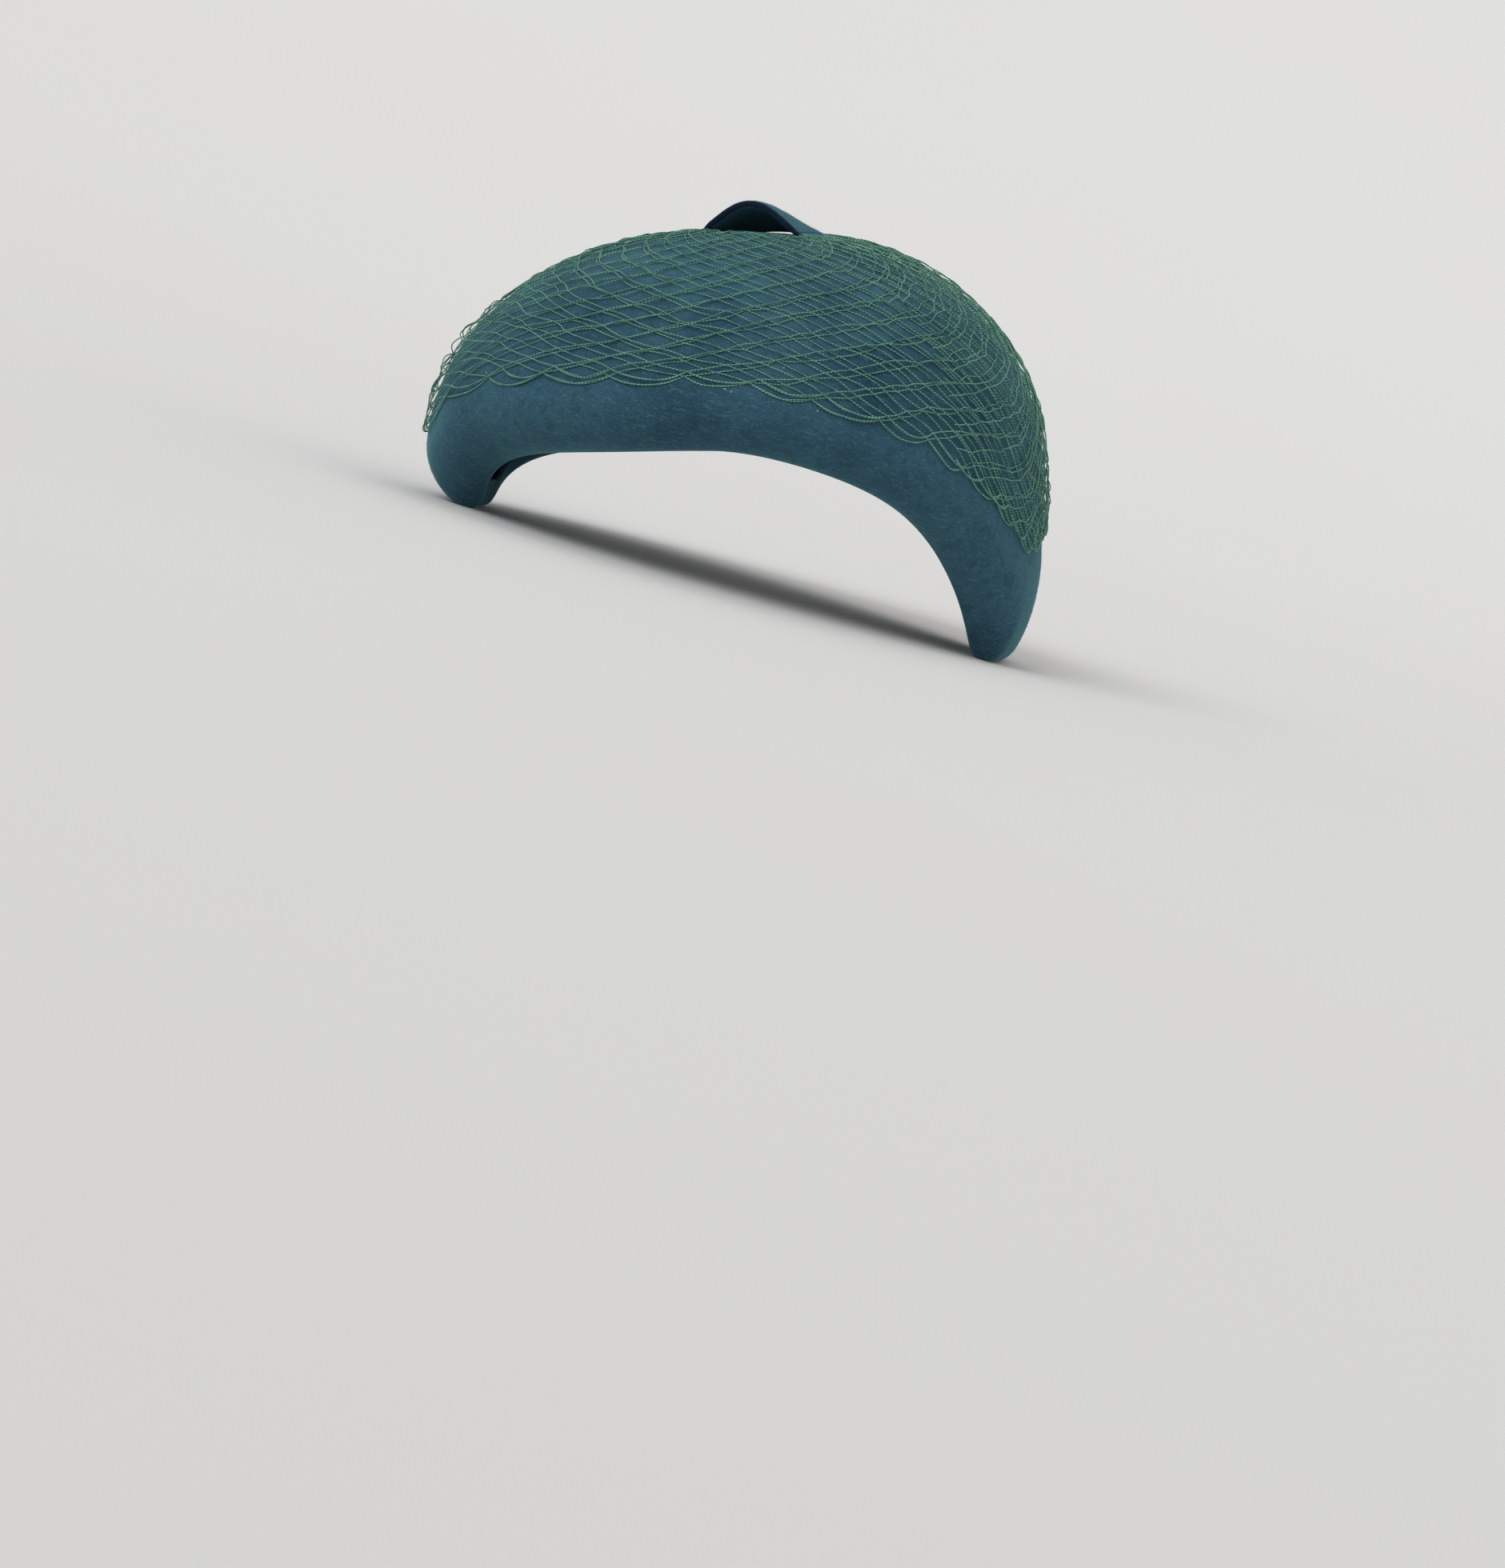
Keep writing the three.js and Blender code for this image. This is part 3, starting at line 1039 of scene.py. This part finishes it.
@dataclass
class TopLoop:
    """The strap of felt bowed up from the tip, its two ends lying on the crown."""

    form: HatForm
    felt: float = 2.2
    back: float = 12.0
    turn: float = math.radians(22)
    half_span: float = 18.5
    foot: float = 2.5
    height: float = 8.8
    width: float = 28.0
    bell: float = 1.25
    far_share: float = 0.12
    touch_gap: float = 0.3
    corner: float = 0.85
    steps: int = 120
    flat_steps: int = 22
    corner_steps: int = 5
    foot_taper: float = 6.0
    thin_foot: float = 0.45
    narrow_foot: float = 0.80
    slope_step: float = 0.05
    nap: Nap = Nap(
        seed=29, count=5200, shortest=0.3, longest=0.8, upright=0.8, brushed=0.0, stray=0.6, sunk=0.0,
    )

    def rise(self, along: Array, across: Array) -> Array:
        """Height of the underside: a cosine bell to a power along, and a droop across.

        Across the strap the tunnel stands open at the left and falls with the square of the
        distance from there, until it is nearly shut at the right.

        Args:
            along: distance from the strap's middle.
            across: distance from the middle of its width.

        Returns:
            Heights above the crown.
        """
        share = np.clip(np.abs(along) / self.half_span, 0, 1)
        droop = 1 - (1 - self.far_share) * (across / self.width + 0.5) ** 2
        return self.height * droop * np.clip(np.cos(share * math.pi / 2), 0, 1) ** self.bell

    def section(self) -> tuple[Array, Array]:
        """The strap's section: a long rectangle with rounded corners.

        Returns:
            Distances across and up from the underside, once round.
        """
        corner = self.corner
        half = self.width / 2 - corner
        arc = (math.pi / 2) * np.arange(self.corner_steps + 1) / self.corner_steps
        flat = np.linspace(half, -half, self.flat_steps + 1)[1:-1]
        top = self.felt - corner
        across = np.concatenate([
            half + corner * np.cos(arc), flat, -half - corner * np.sin(arc),
            -half - corner * np.cos(arc), -flat, half + corner * np.sin(arc),
        ])
        up = np.concatenate([
            top + corner * np.sin(arc), 0 * flat + self.felt, top + corner * np.cos(arc),
            corner - corner * np.sin(arc), 0 * flat, corner - corner * np.cos(arc),
        ])
        return across, up

    def grid(self) -> Array:
        """The strap's surface: its section carried over the bow and draped on the crown.

        Returns:
            Points, steps by the section's points.
        """
        reach = self.half_span + self.foot
        along = np.linspace(-reach, reach, self.steps + 1)[:, None]
        across, up = self.section()
        from_end = reach - np.abs(along)
        thin = self.thin_foot + (1 - self.thin_foot) * smooth_step(from_end / self.foot_taper)
        past = np.clip(1 - from_end / self.foot_taper, 0, 1)
        narrow = self.narrow_foot + (1 - self.narrow_foot) * np.sqrt(1 - past**2)
        across = across[None] * narrow
        up = up[None] * thin
        small = self.slope_step
        slope = (self.rise(along + small, across) - self.rise(along - small, across)) / (2 * small)
        length = np.hypot(1, slope)
        bowed = along - up * slope / length
        lift = self.rise(along, across) + up / length + self.touch_gap
        x = self.back + bowed * math.cos(self.turn) + across * math.sin(self.turn)
        y = across * math.cos(self.turn) - bowed * math.sin(self.turn)
        share = np.hypot(x / self.form.half_length, y / self.form.half_width)
        _, depth = self.form.dome(self.form.path_at_share(share))
        return self.form.standing(x, y, depth - lift)

    def build(self, groups: SharedGroups) -> None:
        """Builds the strap and the hairs on it.

        Args:
            groups: the shared node groups.
        """
        rings = self.grid()
        count, around, _ = rings.shape
        # The section runs the other way round from a thread's ring, so its faces are turned over.
        quads = ring_quads(count, around)[..., [0, 3, 2, 1]]
        ends = np.stack([rings[0].mean(axis=0), rings[-1].mean(axis=0)])
        ring = np.arange(around)
        last = (count - 1) * around
        centre = count * around
        caps = np.concatenate([fan(centre, ring), fan(centre + 1, last + ring[::-1])])
        parts = MeshParts()
        parts.add(np.concatenate([rings.reshape(-1, 3), ends]), quads.reshape(-1, 4), caps)
        piece = parts.build("top_loop_strap")
        across, _ = self.section()
        at_edge = smooth_step((np.abs(across) - self.width / 2 + 2 * self.corner) / self.corner)
        cut = np.broadcast_to(at_edge, (count, around)).ravel()
        set_point_value(piece, "cut_edge", np.append(cut, [0.0, 0.0]))
        finish = FeltFinish("loop_felt", has_cut_edge=True, sheen_weight=0.30).make(groups)
        finish_piece(piece, finish, "loop_felt", "top_loop")
        self.build_nap(rings)

    def build_nap(self, rings: Array) -> None:
        """Builds short hairs all over the strap.

        Args:
            rings: the strap's points.
        """
        grid = rings.transpose(1, 0, 2)
        piece = self.nap.build("top_loop_nap", grid, -grid_normals(grid))
        finish = HairFinish("loop_hair", (0.018, 0.085, 0.115, 1), (0.06, 0.21, 0.24, 1))
        finish_piece(piece, finish.make(), "loop_felt")


@dataclass(frozen=True)
class Proud:
    """A place where the net stands off the felt: a bell of a height over a patch."""

    azimuth: float
    row: float
    spread: float
    spread_rows: float
    height: float


@dataclass(frozen=True)
class NetLayer:
    """One layer of the net: how its meshes are laid out, and how loosely."""

    name: str
    seed: int
    phase: float
    clearance: float
    edge_rise: float
    rows: int = 11
    reach: float = math.pi


@dataclass
class VeilNet:
    """The veil: diamond meshes knotted from two ways of threads, in layers over the crown.

    A place in the net is counted in meshes round (u) and rows up (r) from its scalloped edge.
    """

    form: HatForm
    hole_back: float = 12.0
    hole_radius: float = 25.0
    above_roll: float = 4.0
    above_roll_extra_back: float = 2.0
    meshes_round: int = 32
    gather: float = 0.42
    thread: float = 0.22
    selvage: float = 0.27
    points_a_mesh: int = 12
    row_depth: float = 8.0
    steady: float = 0.6
    fold_height: float = 0.16
    fold_seed: int = 5
    drift_seed: int = 9
    drift: float = 1.3
    lowest_row: float = 0.8
    knot_stray: tuple[float, float] = (0.05, 0.06)
    knot_size: tuple[float, float, float] = (1.9, 1.5, 1.4)
    bow_rows: float = 0.07
    bow_height: float = 0.22
    bow_phases: tuple[float, float] = (13.7, 5.3)
    rise_phases: tuple[float, float] = (7.1, 3.9)
    shortest_run: int = 4
    layers: tuple[NetLayer, ...] = (
        NetLayer("veil_net_under", seed=41, phase=0.00, clearance=0.50, edge_rise=0.0),
        NetLayer("veil_net_over", seed=52, phase=0.16, clearance=1.00, edge_rise=2.2),
        NetLayer(
            "veil_net_gathered", seed=63, phase=0.55, clearance=1.30, edge_rise=1.5,
            reach=math.radians(66),
        ),
    )
    proud_places: tuple[Proud, ...] = (
        Proud(azimuth=180, row=1.6, spread=26, spread_rows=2.2, height=2.1),
        Proud(azimuth=172, row=4.6, spread=16, spread_rows=1.6, height=1.2),
        Proud(azimuth=176, row=8.6, spread=22, spread_rows=1.0, height=1.3),
        Proud(azimuth=2, row=9.2, spread=24, spread_rows=2.0, height=2.4),
        Proud(azimuth=-4, row=5.6, spread=16, spread_rows=1.4, height=0.9),
        Proud(azimuth=0, row=1.2, spread=24, spread_rows=1.6, height=1.6),
    )

    def lift(self, azimuth: Array, row: Array, layer: NetLayer) -> Array:
        """How far the net stands off: the layer's clearance and the sum of the proud bells.

        Args:
            azimuth: angles round the hat.
            row: rows up from the edge.
            layer: the net's layer.

        Returns:
            Heights above the felt.
        """
        total = np.zeros_like(azimuth)
        for place in self.proud_places:
            turn = np.degrees(azimuth) - place.azimuth
            turn = (turn + 180) % 360 - 180
            total += place.height * np.exp(
                -((turn / place.spread) ** 2) - ((row - place.row) / place.spread_rows) ** 2
            )
        folds = SoftWaves(seed=layer.seed + self.fold_seed, most_round=26, shortest=16)
        fold = folds.at(azimuth, self.row_depth * row)
        gathered = total * (self.steady + (1 - self.steady) * fold).clip(0)
        return layer.clearance + gathered + self.fold_height * fold.clip(0)

    def place(self, u: Array, row: Array, height: Array, layer: NetLayer) -> tuple[Array, Array]:
        """Points of the net on the crown.

        The meshes are drawn closer at the back: azimuth = U - gather sin U, with U = u over the
        meshes round. Rows share the path between the round hole and the edge above the roll,
        and grow taller towards the hole.

        Args:
            u: meshes round.
            row: rows up from the edge.
            height: extra height above the felt.
            layer: the net's layer.

        Returns:
            Points and outward normals.
        """
        form = self.form
        around = TURN * u / self.meshes_round
        azimuth = around - self.gather * np.sin(around)
        across = self.hole_back * np.sin(azimuth)
        hole = self.hole_back * np.cos(azimuth) + np.sqrt(self.hole_radius**2 - across**2)
        rim = np.hypot(*form.oval(azimuth, 1.0))
        start = form.path_at_share(hole / rim)
        margin = self.above_roll + self.above_roll_extra_back * form.backness(azimuth)
        end = form.edge(azimuth).path - margin - layer.edge_rise
        drifts = SoftWaves(seed=layer.seed + self.drift_seed, most_round=5, shortest=60)
        drift = self.drift * drifts.at(azimuth, self.row_depth * row) * smooth_step(row / 2)
        share = row / layer.rows
        grown = (self.lowest_row + (1 - self.lowest_row) * share) * share
        path = end - (end - start) * grown + drift
        return form.over_wall(azimuth, path, height + self.lift(azimuth, row, layer))

    def strands(self, layer: NetLayer, way: Way, knots: Array) -> tuple[Array, Array, Array]:
        """The threads of one way, each climbing one mesh round for each row up.

        The lowest half mesh is a scallop: the row is twice the square of the mesh count there.
        Between knots a thread bows a little and rises off the felt.

        Args:
            layer: the net's layer.
            way: which way they climb.
            knots: for each half mesh round and half row, how far the knot strays.

        Returns:
            Meshes round, rows up and extra height for each point of each thread.
        """
        starts = np.arange(self.meshes_round)[:, None]
        climb = np.linspace(0, layer.rows, layer.rows * self.points_a_mesh + 1)[None]
        row = np.where(climb < 0.5, 2 * climb**2, climb)
        half = 2 * climb
        below = np.minimum(np.floor(half), 2 * layer.rows - 1).astype(int)
        part = half - below
        at = (2 * starts + way.value * below) % (2 * self.meshes_round)
        beside = (at + way.value) % (2 * self.meshes_round)
        stray = knots[at, below] * (1 - part[..., None]) + knots[beside, below + 1] * part[..., None]
        bow = np.sin(math.pi * part)
        u = starts + layer.phase + way.value * climb + stray[..., 0]
        bowed = np.sin(self.bow_phases[0] * at + self.bow_phases[1] * below)
        raised = 1 + np.sin(self.rise_phases[0] * at + self.rise_phases[1] * below + way.value)
        row = row + stray[..., 1] + self.bow_rows * bow * bowed
        return u, row, self.bow_height * bow * raised

    def scallops(self, layer: NetLayer, knots: Array) -> tuple[Array, Array]:
        """The heavier thread of the lower edge: row = twice the square of the mesh count.

        Args:
            layer: the net's layer.
            knots: how far each knot strays.

        Returns:
            Meshes round and rows up, one line once round.
        """
        steps = self.meshes_round * self.points_a_mesh
        mesh = np.arange(steps + 1) / self.points_a_mesh
        nearest = np.round(mesh)
        off = mesh - nearest
        share = np.abs(2 * off)[:, None]
        at = (2 * nearest).astype(int) % (2 * self.meshes_round)
        beside = (at + np.sign(off).astype(int)) % (2 * self.meshes_round)
        stray = knots[at, 0] * (1 - share) + knots[beside, 1] * share
        return mesh + layer.phase + stray[:, 0], 2 * off**2 + stray[:, 1]

    def within(self, u: Array, layer: NetLayer) -> Array:
        """True where a place is inside the layer's reach each side of the back."""
        around = (TURN * u / self.meshes_round + math.pi) % TURN - math.pi
        return np.abs(around) <= layer.reach

    def knot_strays(self, layer: NetLayer) -> Array:
        """How far each knot strays from its even place, in meshes and rows.

        Args:
            layer: the net's layer.

        Returns:
            Strays for each half mesh round and half row up.
        """
        draw = np.random.default_rng(layer.seed)
        strays = draw.normal(0, 1, (2 * self.meshes_round, 2 * layer.rows + 2, 2))
        return strays * np.array(self.knot_stray)

    def add_runs(
        self, parts: MeshParts, layer: NetLayer, u: Array, row: Array, height: Array, radius: float
    ) -> None:
        """Adds threads, cut into runs where they leave the layer's reach.

        Args:
            parts: what they are added to.
            layer: the net's layer.
            u: meshes round, one line for each thread.
            row: rows up.
            height: extra height.
            radius: the thread's radius.
        """
        line, normal = self.place(u, row, height, layer)
        if layer.reach >= math.pi:
            add_tubes(parts, line, normal, np.full(u.shape, radius))
            return
        inside = self.within(u, layer)
        for thread in range(len(u)):
            edges = np.flatnonzero(np.diff(np.concatenate([[0], inside[thread], [0]])))
            for first, last in zip(edges[::2], edges[1::2]):
                if last - first >= self.shortest_run:
                    run = slice(first, last)
                    add_tubes(
                        parts, line[None, thread, run], normal[None, thread, run],
                        np.full((1, last - first), radius),
                    )

    def add_knots(self, parts: MeshParts, layer: NetLayer, knots: Array) -> None:
        """Adds a small knot at each crossing: an eight-faced bead a little wider than high.

        Args:
            parts: what they are added to.
            layer: the net's layer.
            knots: how far each knot strays.
        """
        u, row, height = self.strands(layer, Way.TOWARDS_LEFT, knots)
        every = slice(self.points_a_mesh // 2, None, self.points_a_mesh // 2)
        u, row, height = (values[:, every].ravel() for values in (u, row, height))
        kept = self.within(u, layer)
        centre, normal = self.place(u[kept], row[kept], height[kept], layer)
        side = unit(np.cross(normal, [0.0, 0.0, 1.0]))
        up = np.cross(side, normal)
        axes = [size * axis for size, axis in zip(self.knot_size, (side, up, normal))]
        offsets = np.stack([sign * axis for axis in axes for sign in (1, -1)], axis=1) * self.thread
        faces = np.array([
            [0, 2, 4], [2, 1, 4], [1, 3, 4], [3, 0, 4], [2, 0, 5], [1, 2, 5], [3, 1, 5], [0, 3, 5],
        ])
        first = 6 * np.arange(len(centre))[:, None, None]
        parts.add(centre[:, None] + offsets, triangles=(first + faces[None]).reshape(-1, 3))

    def build(self, groups: SharedGroups) -> None:
        """Builds each layer: its threads both ways, its scalloped edge and its knots.

        Args:
            groups: the shared node groups.
        """
        finish = ThreadFinish("veiling_thread").make(groups)
        for layer in self.layers:
            parts = MeshParts()
            knots = self.knot_strays(layer)
            for way in Way:
                u, row, height = self.strands(layer, way, knots)
                self.add_runs(parts, layer, u, row, height, self.thread)
            u, row = self.scallops(layer, knots)
            self.add_runs(parts, layer, u[None], row[None], 0 * u[None], self.selvage)
            self.add_knots(parts, layer, knots)
            finish_piece(parts.build(layer.name), finish, "veil_thread", "veil_net")


@dataclass
class LintSpecks:
    """A few bits of white lint caught in the felt of the band, below the net."""

    form: HatForm
    seed: int = 77
    count: int = 26
    length: float = 1.1
    radius: float = 0.07
    below: float = 17.0
    raised: float = 0.35
    curl: float = 3.4
    flatness: float = 0.6
    steps: int = 9

    def build(self) -> None:
        """Builds each speck as a short curled thread: an arc of a flattened circle."""
        draw = np.random.default_rng(self.seed)
        azimuth = draw.uniform(0, TURN, self.count)
        path = self.form.edge(azimuth).path + draw.uniform(-self.below, 0, self.count)
        centre, normal = self.form.over_wall(azimuth, path, np.full(self.count, self.raised))
        side = unit(np.cross(normal, [0.0, 0.0, 1.0]))
        up = np.cross(side, normal)
        turn = draw.uniform(0, TURN, (self.count, 1))
        size = self.length * draw.uniform(0.4, 1.0, (self.count, 1)) / 2
        angle = (turn + np.linspace(0, self.curl, self.steps)[None])[..., None]
        line = centre[:, None] + size[..., None] * (
            np.cos(angle) * side[:, None] + self.flatness * np.sin(angle) * up[:, None]
        )
        parts = MeshParts()
        normals = np.broadcast_to(normal[:, None], line.shape)
        add_tubes(parts, line, normals, np.full(line.shape[:2], self.radius), sides=4)
        finish = HairFinish("white_lint", (0.55, 0.56, 0.55, 1), (0.85, 0.86, 0.84, 1))
        finish_piece(parts.build("lint_specks"), finish.make(), None)


@dataclass
class View:
    """The camera: square to the wearer's left side, level with the dome, rolled with its lean."""

    form: HatForm
    towards_back: float = math.radians(4)
    above: float = math.radians(1)
    distance: float = 1500.0
    seen_length: float = 578.2
    right_of_centre: float = -6.9
    above_centre: float = 118.0
    sensor: float = 36.0

    def build(self) -> None:
        """Makes the camera and sets it as the scene's own.

        The dome's middle is seen off the picture's centre by two of the fields, and the length
        seen at the hat runs along the picture's longer side.
        """
        cos = math.cos(self.above)
        towards = self.form.turned(
            math.sin(self.towards_back) * cos, -math.cos(self.towards_back) * cos,
            math.sin(self.above),
        )
        right = self.form.turned(math.cos(self.towards_back), math.sin(self.towards_back), 0.0)
        up = np.cross(towards, right)
        middle = self.form.standing(0.0, 0.0, self.form.height)
        place = middle + self.distance * towards
        aim = middle - self.right_of_centre * right - self.above_centre * up
        back = unit(place - aim)
        right = unit(np.cross(up, back))
        up = np.cross(back, right)
        data = bpy.data.cameras.new("camera")
        data.sensor_width = self.sensor
        data.lens = self.sensor * float(np.linalg.norm(place - aim)) / self.seen_length
        camera = bpy.data.objects.new("camera", data)
        matrix = Matrix([[*row, 0.0] for row in np.stack([right, up, back], axis=1)] + [[0, 0, 0, 1]])
        matrix.translation = Vector(place * MM)
        camera.matrix_world = matrix
        bpy.context.scene.collection.objects.link(camera)
        bpy.context.scene.camera = camera


@dataclass(frozen=True)
class Lamp:
    """A far, wide light, which falls evenly on the hat and the whole floor."""

    name: str
    towards: tuple[float, float, float]
    spread: float
    strength: float
    colour: tuple[float, float, float]

    def hang(self) -> None:
        """Adds the light to the scene, turned to shine from its direction."""
        data = bpy.data.lights.new(self.name, "SUN")
        data.angle = math.radians(self.spread)
        data.energy = self.strength
        data.color = self.colour
        lamp = bpy.data.objects.new(self.name, data)
        lamp.rotation_euler = Vector(self.towards).to_track_quat("Z", "Y").to_euler()
        bpy.context.scene.collection.objects.link(lamp)


@dataclass
class Stage:
    """A pale floor that rises all round in one sweep, and soft lights."""

    middle_rings: tuple[float, float] = (200.0, 500.0)
    flat: float = 900.0
    sweep: float = 4000.0
    sweep_angle: float = math.radians(56)
    columns: int = 128
    steps: int = 28
    tone: tuple = (0.80, 0.785, 0.765, 1)
    warming: tuple = (1.0, 0.985, 0.965, 1)
    world: tuple = (0.93, 0.95, 1.0, 1)
    world_strength: float = 0.40
    lamps: tuple[Lamp, ...] = (
        Lamp("window", (-0.75, -0.8, 1.0), 40, 1.30, (0.90, 0.96, 1.0)),
        Lamp("room", (0.9, -0.6, 0.8), 50, 0.34, (1.0, 0.93, 0.84)),
        Lamp("ceiling", (0.05, 0.25, 1.0), 60, 0.50, (1.0, 0.99, 0.96)),
    )

    def build_floor(self) -> None:
        """Builds the floor: a disc and a wide arc up, turned about the upright axis."""
        angle = self.sweep_angle * np.arange(self.steps + 1) / self.steps
        radius = np.concatenate([self.middle_rings, self.flat + self.sweep * np.sin(angle)])
        height = np.concatenate([np.zeros(len(self.middle_rings)), self.sweep * (1 - np.cos(angle))])
        turn = TURN * np.arange(self.columns)[:, None] / self.columns
        grid = np.stack([radius * np.cos(turn), radius * np.sin(turn), height + 0 * turn], -1)
        rows = grid.shape[1]
        middle = fan(self.columns * rows, rows * np.arange(self.columns))
        points = np.concatenate([grid.reshape(-1, 3), [[0.0, 0.0, 0.0]]])
        parts = MeshParts()
        parts.add(points, grid_quads(self.columns, rows), middle)
        floor = parts.build("floor")
        material, graph, shader = new_material("pale_paper", {
            "Specular IOR Level": 0.15, "Roughness": 0.9,
        })
        tooth = graph.noise(graph.place(), 3.0)
        warm = tuple(tone * warming for tone, warming in zip(self.tone, self.warming))
        graph.put(shader, {"Base Color": graph.mix(tooth, self.tone, warm)})
        floor.data.materials.append(material)

    def build(self) -> None:
        """Builds the floor, the lights and the plain world."""
        self.build_floor()
        for lamp in self.lamps:
            lamp.hang()
        world = bpy.data.worlds.new("world")
        world.use_nodes = True
        light = world.node_tree.nodes["Background"]
        light.inputs["Color"].default_value = self.world
        light.inputs["Strength"].default_value = self.world_strength
        bpy.context.scene.world = world
        bpy.context.scene.view_settings.view_transform = "Standard"


def placed_form() -> HatForm:
    """The hat's form, moved along X so that its crown fills the frame's own box for it.

    Returns:
        The form in the row's frame.
    """
    form = HatForm()
    outline = Crown(form, columns=72).outline()[..., 0]
    low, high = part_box("crown")
    middle = (low[0] + high[0]) / 2 / MM
    return replace(form, shift=float(middle - (outline.min() + outline.max()) / 2))


def main() -> None:
    """Builds the camera, the hat's pieces in order, and the stage."""
    logging.basicConfig(level=logging.INFO, format="%(name)s: %(message)s")
    form = placed_form()
    View(form).build()
    groups = SharedGroups(NapGroup(), PaintedTopLightGroup())
    Crown(form).build(groups)
    TopLoop(form).build(groups)
    VeilNet(form).build(groups)
    LintSpecks(form).build()
    Stage().build()


if __name__ == "__main__":
    main()
